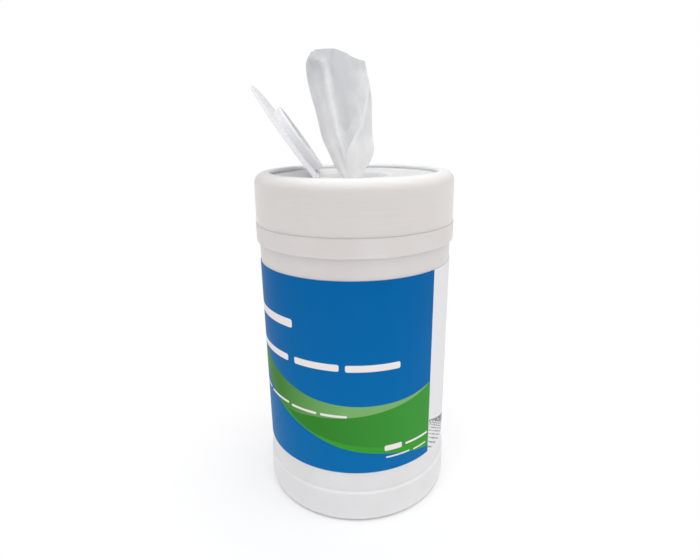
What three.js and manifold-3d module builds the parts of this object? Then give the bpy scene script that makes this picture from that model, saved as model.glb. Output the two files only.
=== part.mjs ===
// A round plastic canister of wet wipes: a blow-moulded bottle with a wrapped label, a push-on cap
// with a hinged flap over its dispensing well, a coreless roll of wipes standing inside, and the
// first wipe pulled up through the star-shaped orifice.
// Millimetres, +Z up. The origin is the centre of the base, and the flap's hinge runs along Y.

import * as THREE from 'three';
import { mergeVertices } from 'three/addons/utils/BufferGeometryUtils.js';
import Module from 'manifold-3d';

const wasm = await Module();
wasm.setup();

// General
const ROUND_STEPS = 64;
const GAP = 0.3;
const EDGE_BREAK = 0.4;
const DEG = Math.PI / 180;

// Sheets of the roll, and the bottle's and the cap's walls
const SHEET_WIDTH = 165;
const SHEET_LENGTH = 203;
const BOTTLE_WALL = 1.3;
const BASE_THICKNESS = 1.6;
const PUSH_UP = 1.5;
const CAP_WALL = 1.5;
const BASE_FLOOR = PUSH_UP + BASE_THICKNESS;
const ROLL_BOTTOM = BASE_FLOOR + GAP;
const ROLL_TOP = ROLL_BOTTOM + SHEET_WIDTH;

// Cap
const CAP_HEIGHT = 25.8;
const CAP_OVERHANG = 0.2;
const CAP_DRAFT = 0.4;
const CAP_CORNER = 5.5;
const CREST_WIDTH = 2;
const CREST_ROUND = 0.8;
const RECESS_DEPTH = 2.5;
const WELL_RADIUS = 19.3;
const WELL_DEPTH = 4.7;
const SNAP_CLEARANCE = 0.35;
const SNAP_HEIGHT = 3.4;
const ORIFICE_POINTS = 6;
const ORIFICE_INNER = 5.6;
const ORIFICE_OUTER = 8.6;

// Bottle
const PANEL_RADIUS = 52.2;
const BAND_STEP = 1.2;
const BASE_CORNER = 3;
const FOOT_WIDTH = 6.3;
const BASE_BAND_TOP = 16.5;
const BASE_BAND_SLOPE = 6;
const SHOULDER_BAND = 7.4;
const SHOULDER_CHAMFER = 3;
const NECK_STEP = 3.4;
const NECK_WALL = 1.8;
const NECK_BEAD = 0.8;
const NECK_BEAD_HEIGHT = 6.4;
const NECK_CLEARANCE = 4.1;
const HEAD_SPACE = 7.5;
const NECK_HEIGHT = CAP_HEIGHT + GAP - RECESS_DEPTH - CAP_WALL - NECK_CLEARANCE;
const NECK_TOP = ROLL_TOP + HEAD_SPACE;
const SHOULDER_TOP = NECK_TOP - NECK_HEIGHT;
const BAND_RADIUS = PANEL_RADIUS + BAND_STEP;
const NECK_RADIUS = BAND_RADIUS - NECK_STEP;
const PANEL_BOTTOM = BASE_BAND_TOP + BASE_BAND_SLOPE;
const PANEL_TOP = SHOULDER_TOP - SHOULDER_BAND - SHOULDER_CHAMFER;

// Places on the cap that follow from the bottle
const CAP_RADIUS = BAND_RADIUS + CAP_OVERHANG;
const CAP_BOTTOM = SHOULDER_TOP + GAP;
const CAP_TOP = CAP_BOTTOM + CAP_HEIGHT;
const CREST_OUTER = CAP_RADIUS - CAP_DRAFT - CAP_CORNER;
const RECESS_RADIUS = CREST_OUTER - CREST_WIDTH - CREST_ROUND;
const RECESS_FLOOR = CAP_TOP - RECESS_DEPTH;
const WELL_FLOOR = RECESS_FLOOR - WELL_DEPTH;

// Flap
const FLAP_RADIUS = 34.6;
const FLAP_THICKNESS = 1.5;
const FLAP_OPENING = 124.7;
const FLAP_REST_GAP = 0.35;
const HINGE_MARGIN = 0.4;
const HINGE_BEAD = 1;
const HINGE_SINK = 0.5;
const HINGE_END_GAP = 1.5;
const HINGE_INSET = 0.8;
const PLUG_CLEARANCE = 0.7;
const PLUG_WALL = 1.3;
const PLUG_DEPTH = 4.3;
const PLUG_LEAD = 1;
const HINGE_OFFSET = WELL_RADIUS + HINGE_MARGIN;
const HINGE_HALF_LENGTH = Math.sqrt(FLAP_RADIUS ** 2 - HINGE_OFFSET ** 2) - HINGE_INSET;
const HINGE_HEIGHT = RECESS_FLOOR - HINGE_SINK + GAP + HINGE_BEAD;
const PLUG_RADIUS = WELL_RADIUS - PLUG_CLEARANCE;
const FLAP_UNDERSIDE = RECESS_FLOOR + FLAP_REST_GAP - HINGE_HEIGHT;

// Roll of wipes, standing loose in the bottle
const ROLL_CLEARANCE = 3.7;
const ROLL_HOLE = 10;
const ROLL_RIDGES = 6;
const ROLL_RIDGE_DEPTH = 0.8;
const ROLL_RADIUS = PANEL_RADIUS - BOTTLE_WALL - ROLL_CLEARANCE;

// The wipe pulled out of it
const WIPE_THICKNESS = 0.5;
const WIPE_RISE = 60;
const WIPE_SPREAD = 34;
const WIPE_NECK_CLEARANCE = 1;
const WIPE_TURNS = 3;
const WIPE_CORE = 0.3;
const WIPE_EDGE_LOW = -100;
const WIPE_EDGE_HIGH = -5;
const WIPE_RIDGE = 240;
const WIPE_VALLEY_WIDTH = 207;
const WIPE_VALLEY_DEPTH = 0.5;
const WIPE_LEFT_DROP = 9;
const WIPE_RIGHT_DROP = 5;
const WIPE_STEPS_ACROSS = 48;
const WIPE_NECK = ORIFICE_INNER - WIPE_NECK_CLEARANCE;
const TAIL_CLEARANCE = 1;
const TAIL_NARROWING = 1.5;
const TAIL_LENGTH = 15;
const TAIL_RADIUS = ROLL_HOLE - WIPE_THICKNESS / 2 - TAIL_CLEARANCE;

// Label and its printed fields
const LABEL_FOOT_MARGIN = 8.5;
const LABEL_HEAD_MARGIN = 10;
const LABEL_START = -106.5;
const LABEL_END = 252.5;
const FRONT_END = 45.4;
const LABEL_THICKNESS = 0.14;
const INK_THICKNESS = 0.1;
const LAYER_GAP = 0.04;
const SWEEP_FORK = -49;
const FIELD_GAP = 0.15;
const FORK_START = SWEEP_FORK - FIELD_GAP;
const LABEL_INNER = PANEL_RADIUS + LAYER_GAP;
const INK_INNER = LABEL_INNER + LABEL_THICKNESS + LAYER_GAP;
const LABEL_BOTTOM = PANEL_BOTTOM + LABEL_FOOT_MARGIN;
const LABEL_TOP = PANEL_TOP - LABEL_HEAD_MARGIN;
const LABEL_HEIGHT = LABEL_TOP - LABEL_BOTTOM;

const COLOURS = {
  bottle: { color: 0xe9e8ea, roughness: 0.42 },
  cap: { color: 0xebe8e8, roughness: 0.38 },
  flap: { color: 0xeeeef0, roughness: 0.36 },
  wipe: { color: 0xeceef0, roughness: 0.9 },
  roll: { color: 0xe6e8ea, roughness: 0.9 },
  label: { color: 0xf2f2f4, roughness: 0.4 },
  blue: { color: 0x0865aa, roughness: 0.35 },
  green: { color: 0x3a9638, roughness: 0.35 },
  paleGreen: { color: 0x86b878, roughness: 0.35 },
  lime: { color: 0x4fae3c, roughness: 0.35 },
};

// A named mesh with its own material.
function piece(name, geometry, look) {
  const material = new THREE.MeshStandardMaterial({ metalness: 0, ...look });
  const mesh = new THREE.Mesh(geometry, material);
  mesh.name = name;
  return mesh;
}

// A turned shape from [radius, height] points, counter-clockwise round the section, with +Z as its axis.
function turned(profile) {
  const points = profile.map(([radius, height]) => new THREE.Vector2(radius, height));
  return new THREE.LatheGeometry(points, ROUND_STEPS).rotateX(Math.PI / 2);
}

// Points on an arc in a section, from one angle to another in degrees.
function arc(centreRadius, centreHeight, radius, from, to, steps) {
  const points = [];
  for (let i = 0; i <= steps; i += 1) {
    const angle = (from + ((to - from) * i) / steps) * DEG;
    points.push([centreRadius + radius * Math.cos(angle), centreHeight + radius * Math.sin(angle)]);
  }
  return points;
}

// A three.js geometry as a solid that can be joined and cut.
function toSolid(geometry) {
  const bare = geometry.clone();
  bare.deleteAttribute('normal');
  bare.deleteAttribute('uv');
  const merged = mergeVertices(bare, 1e-4);
  const index = merged.index.array;
  const triangles = [];
  for (let i = 0; i < index.length; i += 3) {
    const [a, b, c] = [index[i], index[i + 1], index[i + 2]];
    if (a !== b && b !== c && a !== c) triangles.push(a, b, c);
  }
  return new wasm.Manifold(new wasm.Mesh({
    numProp: 3,
    vertProperties: new Float32Array(merged.attributes.position.array),
    triVerts: new Uint32Array(triangles),
  }));
}

// The joined or cut solid as a three.js geometry.
function toGeometry(solid) {
  const mesh = solid.getMesh();
  const geometry = new THREE.BufferGeometry();
  geometry.setAttribute('position', new THREE.BufferAttribute(new Float32Array(mesh.vertProperties), 3));
  geometry.setIndex(new THREE.BufferAttribute(new Uint32Array(mesh.triVerts), 1));
  return geometry;
}

// The bottle: foot ring, base band, recessed label panel, shoulder band and open neck, in one wall.
function bottleGeometry() {
  const footOuter = BAND_RADIUS - BASE_CORNER;
  const footInner = footOuter - FOOT_WIDTH;
  const bead = SHOULDER_TOP + NECK_BEAD_HEIGHT;
  const neckInner = NECK_RADIUS - NECK_WALL;
  const bandInner = BAND_RADIUS - BOTTLE_WALL;
  const panelInner = PANEL_RADIUS - BOTTLE_WALL;
  return turned([
    [0, PUSH_UP],
    [footInner - PUSH_UP, PUSH_UP],
    [footInner, 0],
    ...arc(footOuter, BASE_CORNER, BASE_CORNER, -90, 0, 4),
    [BAND_RADIUS, BASE_BAND_TOP],
    [BAND_RADIUS - BAND_STEP * 0.15, BASE_BAND_TOP + BASE_BAND_SLOPE * 0.3],
    [PANEL_RADIUS + BAND_STEP * 0.15, PANEL_BOTTOM - BASE_BAND_SLOPE * 0.3],
    [PANEL_RADIUS, PANEL_BOTTOM],
    [PANEL_RADIUS, PANEL_TOP],
    [BAND_RADIUS, PANEL_TOP + SHOULDER_CHAMFER],
    [BAND_RADIUS, SHOULDER_TOP - EDGE_BREAK],
    [BAND_RADIUS - EDGE_BREAK, SHOULDER_TOP],
    [NECK_RADIUS, SHOULDER_TOP],
    [NECK_RADIUS, bead - NECK_BEAD],
    [NECK_RADIUS + NECK_BEAD, bead],
    [NECK_RADIUS, bead + 2 * NECK_BEAD],
    [NECK_RADIUS, NECK_TOP],
    [neckInner, NECK_TOP],
    [neckInner, SHOULDER_TOP - BOTTLE_WALL],
    [panelInner, SHOULDER_TOP - 3 * BOTTLE_WALL],
    [panelInner, PANEL_BOTTOM],
    [bandInner, BASE_BAND_TOP],
    [bandInner, BASE_FLOOR + BASE_CORNER],
    [bandInner - BASE_CORNER, BASE_FLOOR],
    [0, BASE_FLOOR],
  ]);
}

// A star-shaped prism through the floor of the well.
function orificeGeometry() {
  const star = new THREE.Shape();
  for (let i = 0; i < 2 * ORIFICE_POINTS; i += 1) {
    const radius = i % 2 ? ORIFICE_INNER : ORIFICE_OUTER;
    const angle = (i * Math.PI) / ORIFICE_POINTS;
    const place = [radius * Math.cos(angle), radius * Math.sin(angle)];
    if (i) star.lineTo(...place);
    else star.moveTo(...place);
  }
  star.closePath();
  const depth = 4 * CAP_WALL;
  return new THREE.ExtrudeGeometry(star, { depth, bevelEnabled: false })
    .translate(0, 0, WELL_FLOOR - depth / 2);
}

// A round bar along Y, centred on the hinge's axis.
function hingeBar(radius, halfLength) {
  return new THREE.CylinderGeometry(radius, radius, 2 * halfLength, 16);
}

// The cap: skirt, rounded crest, shallow recess, dispensing well with its orifice, and hinge groove.
function capGeometry() {
  const skirtInner = CAP_RADIUS - CAP_WALL;
  const snapInner = NECK_RADIUS + NECK_BEAD + SNAP_CLEARANCE;
  const snap = CAP_BOTTOM + SNAP_HEIGHT;
  const snapRise = skirtInner - snapInner;
  const cornerHeight = CAP_TOP - CAP_CORNER;
  const cornerInner = CAP_CORNER - CAP_WALL;
  const wellOuter = WELL_RADIUS + CAP_WALL;
  const recessUnder = RECESS_FLOOR - CAP_WALL;
  const body = toSolid(turned([
    [0, WELL_FLOOR - CAP_WALL],
    [wellOuter, WELL_FLOOR - CAP_WALL],
    [wellOuter, recessUnder],
    [RECESS_RADIUS - CREST_ROUND, recessUnder],
    [CREST_OUTER - CREST_WIDTH, CAP_TOP - CAP_WALL],
    ...arc(CREST_OUTER, cornerHeight, cornerInner, 90, 0, 3),
    [skirtInner - CAP_DRAFT / 2, snap + 3 * snapRise],
    [snapInner, snap],
    [skirtInner, snap - snapRise],
    [skirtInner, CAP_BOTTOM],
    [CAP_RADIUS, CAP_BOTTOM],
    ...arc(CREST_OUTER, cornerHeight, CAP_CORNER, 0, 90, 5),
    [CREST_OUTER - CREST_WIDTH, CAP_TOP],
    [RECESS_RADIUS, CAP_TOP - CREST_ROUND],
    [RECESS_RADIUS, RECESS_FLOOR],
    [WELL_RADIUS, RECESS_FLOOR],
    [WELL_RADIUS, WELL_FLOOR],
    [0, WELL_FLOOR],
  ]));
  const groove = toSolid(hingeBar(HINGE_BEAD + GAP, HINGE_HALF_LENGTH + HINGE_END_GAP)
    .translate(-HINGE_OFFSET, 0, HINGE_HEIGHT));
  return toGeometry(body.subtract(toSolid(orificeGeometry())).subtract(groove));
}

// The flap, shut, with the hinge's axis as its origin: a plate cut by the hinge chord, the plug
// ring that closes the well, and the rounded bead of the hinge.
function flapGeometry() {
  const chordAngle = Math.acos(-HINGE_OFFSET / FLAP_RADIUS);
  const outline = new THREE.Shape();
  outline.absarc(HINGE_OFFSET, 0, FLAP_RADIUS, -chordAngle, chordAngle, false);
  outline.closePath();
  const plate = new THREE.ExtrudeGeometry(outline, {
    depth: FLAP_THICKNESS,
    bevelEnabled: false,
    curveSegments: 40,
  }).translate(0, 0, FLAP_UNDERSIDE);
  const top = FLAP_UNDERSIDE + FLAP_THICKNESS / 2;
  const bottom = FLAP_UNDERSIDE - PLUG_DEPTH;
  const plugInner = PLUG_RADIUS - PLUG_WALL;
  const plug = turned([
    [plugInner, bottom],
    [PLUG_RADIUS - EDGE_BREAK, bottom],
    [PLUG_RADIUS, bottom + PLUG_LEAD],
    [PLUG_RADIUS, top],
    [plugInner, top],
    [plugInner, bottom],
  ]).translate(HINGE_OFFSET, 0, 0);
  const bead = hingeBar(HINGE_BEAD, HINGE_HALF_LENGTH);
  return toGeometry(toSolid(plate).add(toSolid(plug)).add(toSolid(bead)));
}

// The flap in the pose that the pack is kept in, swung open about its hinge.
function flapGroup() {
  const group = new THREE.Group();
  group.position.set(-HINGE_OFFSET, 0, HINGE_HEIGHT);
  group.rotation.y = -FLAP_OPENING * DEG;
  group.add(piece('flap', flapGeometry(), COLOURS.flap));
  return group;
}

// The roll: a wound cylinder with an open centre, its turns showing as ridges on the top face.
function rollGeometry() {
  const ridges = [];
  const pitch = (ROLL_RADIUS - ROLL_HOLE) / ROLL_RIDGES;
  for (let i = 0; i < ROLL_RIDGES; i += 1) {
    const outer = ROLL_RADIUS - i * pitch;
    ridges.push([outer, ROLL_TOP - ROLL_RIDGE_DEPTH], [outer - pitch / 2, ROLL_TOP]);
  }
  return turned([
    [ROLL_HOLE, ROLL_BOTTOM],
    [ROLL_RADIUS, ROLL_BOTTOM],
    ...ridges,
    [ROLL_HOLE, ROLL_TOP - ROLL_RIDGE_DEPTH],
    [ROLL_HOLE, ROLL_BOTTOM],
  ]);
}

// A smooth value at x between points given as [x, value], in order of x.
function smooth(points, x) {
  const last = points.length - 1;
  let i = 0;
  while (i < last - 1 && x > points[i + 1][0]) i += 1;
  const at = (k) => points[Math.min(Math.max(k, 0), last)];
  const slope = (k) => (at(k + 1)[1] - at(k - 1)[1]) / (at(k + 1)[0] - at(k - 1)[0]);
  const span = at(i + 1)[0] - at(i)[0];
  const t = (x - at(i)[0]) / span;
  const start = at(i)[1] * (2 * t ** 3 - 3 * t ** 2 + 1) + slope(i) * span * (t ** 3 - 2 * t ** 2 + t);
  const end = at(i + 1)[1] * (3 * t ** 2 - 2 * t ** 3) + slope(i + 1) * span * (t ** 3 - t ** 2);
  return start + end;
}

// The tail of the pulled wipe: its heights and its radius, from the lower edge to the orifice.
const TAIL_LEVELS = [
  [CAP_TOP + WIPE_RISE - SHEET_LENGTH, TAIL_RADIUS],
  [ROLL_TOP - TAIL_LENGTH, TAIL_RADIUS],
  [ROLL_TOP, TAIL_RADIUS - TAIL_NARROWING],
  [WELL_FLOOR - CAP_WALL, WIPE_NECK],
  [WELL_FLOOR, WIPE_NECK],
].map(([z, radius]) => ({ z, left: -radius, right: radius, depth: radius }));

// The part above the cap: height as a share of the rise, then the leftmost and rightmost x and half
// the depth as shares of the spread.
const SPREAD_LEVELS = [
  [-0.063, -0.174, 0.124, 0.141],
  [0.042, -0.282, 0.238, 0.165],
  [0.183, -0.4, 0.312, 0.206],
  [0.342, -0.512, 0.303, 0.241],
  [0.533, -0.618, 0.306, 0.265],
  [0.75, -0.688, 0.291, 0.253],
  [1, -0.706, 0.224, 0.191],
].map(([rise, left, right, depth]) => ({
  z: CAP_TOP + rise * WIPE_RISE,
  left: left * WIPE_SPREAD,
  right: right * WIPE_SPREAD,
  depth: depth * WIPE_SPREAD,
}));
const WIPE_LEVELS = [...TAIL_LEVELS, ...SPREAD_LEVELS];

// The outline's value at a height.
function wipeLevel(key, z) {
  return smooth(WIPE_LEVELS.map((level) => [level.z, level[key]]), z);
}

// A point of the wipe's middle surface. across runs from 0 at the wound-in edge to 1 at the free
// edge in front, which draws back to the right as the wipe rises; level is the height at mid-width.
// A valley runs up the front behind that edge, and the top edge falls away to both sides.
function wipePoint(across, level) {
  const share = Math.min(Math.max((level - CAP_TOP) / WIPE_RISE, 0), 1);
  const angle = (WIPE_EDGE_LOW + (WIPE_EDGE_HIGH - WIPE_EDGE_LOW) * share
    + (1 - across) * WIPE_TURNS * 360);
  const past = (((angle - WIPE_RIDGE) % 360) + 360) % 360;
  const inValley = angle > WIPE_RIDGE && past < WIPE_VALLEY_WIDTH;
  const valley = inValley ? Math.sin((past / WIPE_VALLEY_WIDTH) * Math.PI) ** 1.5 : 0;
  const sink = WIPE_VALLEY_DEPTH * Math.sin(Math.PI * share);
  const radial = (1 - (1 - WIPE_CORE) * (1 - across)) * (1 - sink * valley);
  const sideways = Math.cos(angle * DEG);
  const leftDrop = WIPE_LEFT_DROP * Math.max(0, (-sideways - 0.3) / 0.7) ** 2.5;
  const rightDrop = WIPE_RIGHT_DROP * Math.max(0, (sideways + 0.3) / 1.3) ** 1.5;
  const left = wipeLevel('left', level);
  const right = wipeLevel('right', level);
  return new THREE.Vector3(
    (left + right) / 2 + ((right - left) / 2) * radial * sideways,
    wipeLevel('depth', level) * radial * Math.sin(angle * DEG),
    level - share ** 2 * (leftDrop + rightDrop),
  );
}

// The pulled wipe: one sheet, loosely wound, gathered in the orifice and spread above the cap.
function wipeGeometry() {
  const levels = [];
  for (let i = 0; i < WIPE_LEVELS.length - 1; i += 1) {
    const from = WIPE_LEVELS[i].z;
    const to = WIPE_LEVELS[i + 1].z;
    const steps = i < TAIL_LEVELS.length - 1 ? 2 : 3;
    for (let k = 0; k < steps; k += 1) levels.push(from + ((to - from) * k) / steps);
  }
  levels.push(WIPE_LEVELS[WIPE_LEVELS.length - 1].z);
  const columns = WIPE_STEPS_ACROSS + 1;
  const positions = [];
  for (const side of [1, -1]) {
    for (const level of levels) {
      for (let i = 0; i < columns; i += 1) {
        const across = i / WIPE_STEPS_ACROSS;
        const step = 0.5 / WIPE_STEPS_ACROSS;
        const middle = wipePoint(across, level);
        const before = wipePoint(Math.max(across - step, 0), level);
        const along = wipePoint(Math.min(across + step, 1), level).sub(before);
        const normal = new THREE.Vector3(along.y, -along.x, 0).normalize();
        middle.addScaledVector(normal, (side * WIPE_THICKNESS) / 2);
        positions.push(middle.x, middle.y, middle.z);
      }
    }
  }
  const rows = levels.length;
  const at = (side, row, column) => (side * rows + row) * columns + column;
  const index = [];
  const quad = (a, b, c, d) => index.push(a, b, c, a, c, d);
  for (let row = 0; row < rows - 1; row += 1) {
    for (let i = 0; i < WIPE_STEPS_ACROSS; i += 1) {
      quad(at(0, row, i), at(0, row, i + 1), at(0, row + 1, i + 1), at(0, row + 1, i));
      quad(at(1, row, i + 1), at(1, row, i), at(1, row + 1, i), at(1, row + 1, i + 1));
    }
    quad(at(1, row, 0), at(0, row, 0), at(0, row + 1, 0), at(1, row + 1, 0));
    const end = WIPE_STEPS_ACROSS;
    quad(at(0, row, end), at(1, row, end), at(1, row + 1, end), at(0, row + 1, end));
  }
  for (let i = 0; i < WIPE_STEPS_ACROSS; i += 1) {
    quad(at(1, 0, i), at(1, 0, i + 1), at(0, 0, i + 1), at(0, 0, i));
    quad(at(0, rows - 1, i), at(0, rows - 1, i + 1), at(1, rows - 1, i + 1), at(1, rows - 1, i));
  }
  const geometry = new THREE.BufferGeometry();
  geometry.setAttribute('position', new THREE.Float32BufferAttribute(positions, 3));
  geometry.setIndex(index);
  return geometry;
}

// The angles at which a wrapped field has its columns: its two ends, and every corner of the
// bottle's own round between them, so that it lies on the bottle's faces.
function columnAngles(from, to) {
  const step = 360 / ROUND_STEPS;
  const angles = [from];
  for (let angle = (Math.floor(from / step) + 1) * step; angle < to - 0.2; angle += step) angles.push(angle);
  angles.push(to);
  return angles;
}

// The radius, at any angle, of a faceted round whose corners lie at the given radius.
function facetedRadius(radius, angle) {
  const step = 360 / ROUND_STEPS;
  const offset = (angle / step - Math.floor(angle / step)) * step - step / 2;
  return (radius * Math.cos((step / 2) * DEG)) / Math.cos(offset * DEG);
}

// A thin field wrapped on the bottle, between two angles and two heights that vary with the angle.
function wrappedField(inner, thickness, from, to, bottomAt, topAt) {
  const angles = columnAngles(from, to);
  const positions = [];
  for (const angle of angles) {
    for (const [radius, height] of [
      [inner, bottomAt(angle)],
      [inner, topAt(angle)],
      [inner + thickness, topAt(angle)],
      [inner + thickness, bottomAt(angle)],
    ]) {
      const r = facetedRadius(radius, angle);
      positions.push(r * Math.sin(angle * DEG), -r * Math.cos(angle * DEG), height);
    }
  }
  const index = [];
  for (let i = 0; i < angles.length - 1; i += 1) {
    for (let k = 0; k < 4; k += 1) {
      const [a, b] = [4 * i + k, 4 * i + ((k + 1) % 4)];
      index.push(a, b, b + 4, a, b + 4, a + 4);
    }
  }
  const last = 4 * (angles.length - 1);
  index.push(0, 2, 1, 0, 3, 2, last, last + 1, last + 2, last, last + 2, last + 3);
  const geometry = new THREE.BufferGeometry();
  geometry.setAttribute('position', new THREE.Float32BufferAttribute(positions, 3));
  geometry.setIndex(index);
  return geometry;
}

// The front panel's sweep of curved fields: along each edge, [angle, share of the label's height].
const SWEEP_UPPER = [
  [-106.5, 0.73], [-70, 0.526], [-46.5, 0.441], [-28, 0.397], [-4, 0.376], [25, 0.385], [46, 0.418],
];
const SWEEP_FOLD = [[-50.5, 0.299], [-30, 0.298], [-8, 0.315], [12, 0.34], [31, 0.374], [46, 0.409]];
const SWEEP_LIME = [[-50.5, 0.299], [-35, 0.222], [-14, 0.173], [8, 0.143], [46, 0.089]];
const SWEEP_LOWER = [
  [-106.5, 0.667], [-71, 0.396], [-55, 0.295], [-41, 0.236], [-14, 0.146], [15, 0.096], [46, 0.039],
];

// The label: a white wrap sheet with the coloured fields of its front panel printed on it.
function labelPieces() {
  const foot = () => LABEL_BOTTOM;
  const head = () => LABEL_TOP;
  const above = (curve) => (angle) => LABEL_BOTTOM + LABEL_HEIGHT * smooth(curve, angle) + FIELD_GAP / 2;
  const below = (curve) => (angle) => LABEL_BOTTOM + LABEL_HEIGHT * smooth(curve, angle) - FIELD_GAP / 2;
  const fields = [
    ['label_blue_upper', LABEL_START, FRONT_END, above(SWEEP_UPPER), head, COLOURS.blue],
    ['label_blue_lower', LABEL_START, FRONT_END, foot, below(SWEEP_LOWER), COLOURS.blue],
    ['label_green_start', LABEL_START, FORK_START, above(SWEEP_LOWER), below(SWEEP_UPPER), COLOURS.lime],
    ['label_green_pale', SWEEP_FORK, FRONT_END, above(SWEEP_FOLD), below(SWEEP_UPPER), COLOURS.paleGreen],
    ['label_green_dark', SWEEP_FORK, FRONT_END, above(SWEEP_LIME), below(SWEEP_FOLD), COLOURS.green],
    ['label_green_lime', SWEEP_FORK, FRONT_END, above(SWEEP_LOWER), below(SWEEP_LIME), COLOURS.lime],
  ].map(([name, from, to, bottomAt, topAt, look]) => piece(
    name,
    wrappedField(INK_INNER, INK_THICKNESS, from, to, bottomAt, topAt),
    look,
  ));
  const sheet = wrappedField(LABEL_INNER, LABEL_THICKNESS, LABEL_START, LABEL_END, foot, head);
  return [piece('label', sheet, COLOURS.label), ...fields];
}

const pack = new THREE.Group();
pack.add(piece('bottle', bottleGeometry(), COLOURS.bottle));
pack.add(piece('cap', capGeometry(), COLOURS.cap));
pack.add(flapGroup());
pack.add(piece('wipe_roll', rollGeometry(), COLOURS.roll));
pack.add(piece('pulled_wipe', wipeGeometry(), COLOURS.wipe));
labelPieces().forEach((part) => pack.add(part));

export default pack;
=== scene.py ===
"""A round canister of wet wipes: bottle, push-on cap, open flap, wound roll, pulled wipe and label."""

import logging
import math
from collections.abc import Sequence
from dataclasses import dataclass, field
from enum import Enum

import bmesh
import bpy
from mathutils import Matrix, Vector

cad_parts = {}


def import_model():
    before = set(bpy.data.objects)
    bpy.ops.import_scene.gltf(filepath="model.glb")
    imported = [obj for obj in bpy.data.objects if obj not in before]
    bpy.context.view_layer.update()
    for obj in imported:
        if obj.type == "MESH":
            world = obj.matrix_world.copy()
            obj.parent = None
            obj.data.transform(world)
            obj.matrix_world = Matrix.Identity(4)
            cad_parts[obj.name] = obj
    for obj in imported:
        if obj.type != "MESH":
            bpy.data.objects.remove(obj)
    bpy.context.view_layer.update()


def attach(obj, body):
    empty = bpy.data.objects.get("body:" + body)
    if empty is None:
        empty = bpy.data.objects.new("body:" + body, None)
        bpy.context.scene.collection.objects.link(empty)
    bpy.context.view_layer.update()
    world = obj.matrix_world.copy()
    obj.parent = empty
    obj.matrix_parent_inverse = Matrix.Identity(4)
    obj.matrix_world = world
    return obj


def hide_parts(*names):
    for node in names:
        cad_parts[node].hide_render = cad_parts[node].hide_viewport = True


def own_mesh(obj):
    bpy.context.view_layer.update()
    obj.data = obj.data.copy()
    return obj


log = logging.getLogger("canister")

MM = 0.001  # a millimetre in metres
MERGE = 0.00001  # metres within which the vertices of a turned piece join
SMOOTH_ANGLE = 32  # degrees up to which faces are shaded as one surface
ROUND_SIDES = 192  # sides of the large turned pieces
HINGE = (-19.7, 182.3)  # the flap's axis as (east, height) in millimetres
FLOAT = "NodeSocketFloat"
VECTOR = "NodeSocketVector"
Point = tuple[float, float]
Ring = tuple[float, float]
Triple = tuple[float, float, float]
Colour = tuple[float, float, float, float]
Piece = bpy.types.Object
Material = bpy.types.Material
Tree = bpy.types.NodeTree
Node = bpy.types.Node
Socket = bpy.types.NodeSocket


class Body(Enum):
    """The bodies that pieces ride on."""

    BOTTLE = "bottle"
    CAP = "cap"
    FLAP = "flap"


class Axis(Enum):
    """The outputs of a Separate XYZ node."""

    X = 0
    Y = 1
    Z = 2


def srgb(red: int, green: int, blue: int) -> Colour:
    """Turn a colour in steps of 255 into the linear values that shaders take.

    Args:
        red, green, blue: The colour's channels, from 0 to 255.

    Returns:
        The colour in linear light, with full alpha.
    """

    def linear(channel: int) -> float:
        """Return one channel in linear light."""
        share = channel / 255
        return share / 12.92 if share <= 0.04045 else ((share + 0.055) / 1.055) ** 2.4

    return (linear(red), linear(green), linear(blue), 1.0)


def arc(centre: Point, radius: float, start: float, end: float, steps: int) -> list[Ring]:
    """List the rings along an arc of a turned section.

    Args:
        centre: The arc's centre as (radius, height), in millimetres.
        radius: The arc's own radius.
        start, end: Its first and last angle in degrees, 0 outwards and 90 upwards.
        steps: How many pieces it is cut into.

    Returns:
        Rings as (radius, height), from start to end.
    """
    rings = []
    for i in range(steps + 1):
        angle = math.radians(start + (end - start) * i / steps)
        rings.append((centre[0] + radius * math.cos(angle), centre[1] + radius * math.sin(angle)))
    return rings


def smooth(points: Sequence[Point], x: float) -> float:
    """Read a smooth curve through points.

    Args:
        points: The curve's points, in order of x.
        x: Where it is read.

    Returns:
        The curve's value at x.
    """
    last = len(points) - 1
    i = 0
    while i < last - 1 and x > points[i + 1][0]:
        i += 1

    def at(k: int) -> Point:
        """Return a point, or the nearest end."""
        return points[min(max(k, 0), last)]

    def slope(k: int) -> float:
        """Return the curve's slope at a point."""
        return (at(k + 1)[1] - at(k - 1)[1]) / (at(k + 1)[0] - at(k - 1)[0])

    span = at(i + 1)[0] - at(i)[0]
    t = (x - at(i)[0]) / span
    start = at(i)[1] * (2 * t**3 - 3 * t**2 + 1) + slope(i) * span * (t**3 - 2 * t**2 + t)
    end = at(i + 1)[1] * (3 * t**2 - 2 * t**3) + slope(i + 1) * span * (t**3 - t**2)
    return start + end


def ramp(value: float, low: float, high: float) -> float:
    """Return how far value is from low to high, from 0 to 1, with soft ends; low may be the larger."""
    share = min(max((value - low) / (high - low), 0.0), 1.0)
    return share * share * (3 - 2 * share)


def bell(value: float, centre: float, width: float) -> float:
    """Return a bell curve: 1 at its centre, and 0.37 at one width from it."""
    return math.exp(-(((value - centre) / width) ** 2))


def swell(share: float, power: float = 1.0) -> float:
    """Return a half wave: 0 where the share is 0 or at least 1, and 1 half-way."""
    return math.sin(math.pi * min(1.0, share)) ** power


# Modelling


def deselect() -> None:
    """Leave edit mode and deselect everything."""
    if bpy.context.object and bpy.context.object.mode != "OBJECT":
        bpy.ops.object.mode_set(mode="OBJECT")
    bpy.ops.object.select_all(action="DESELECT")


def only(piece: Piece) -> None:
    """Make one object the selected and active one."""
    deselect()
    piece.select_set(True)
    bpy.context.view_layer.objects.active = piece


def apply_place() -> None:
    """Put the selected object's place, turn and scale into its mesh."""
    bpy.ops.object.transform_apply(location=True, rotation=True, scale=True)


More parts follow.
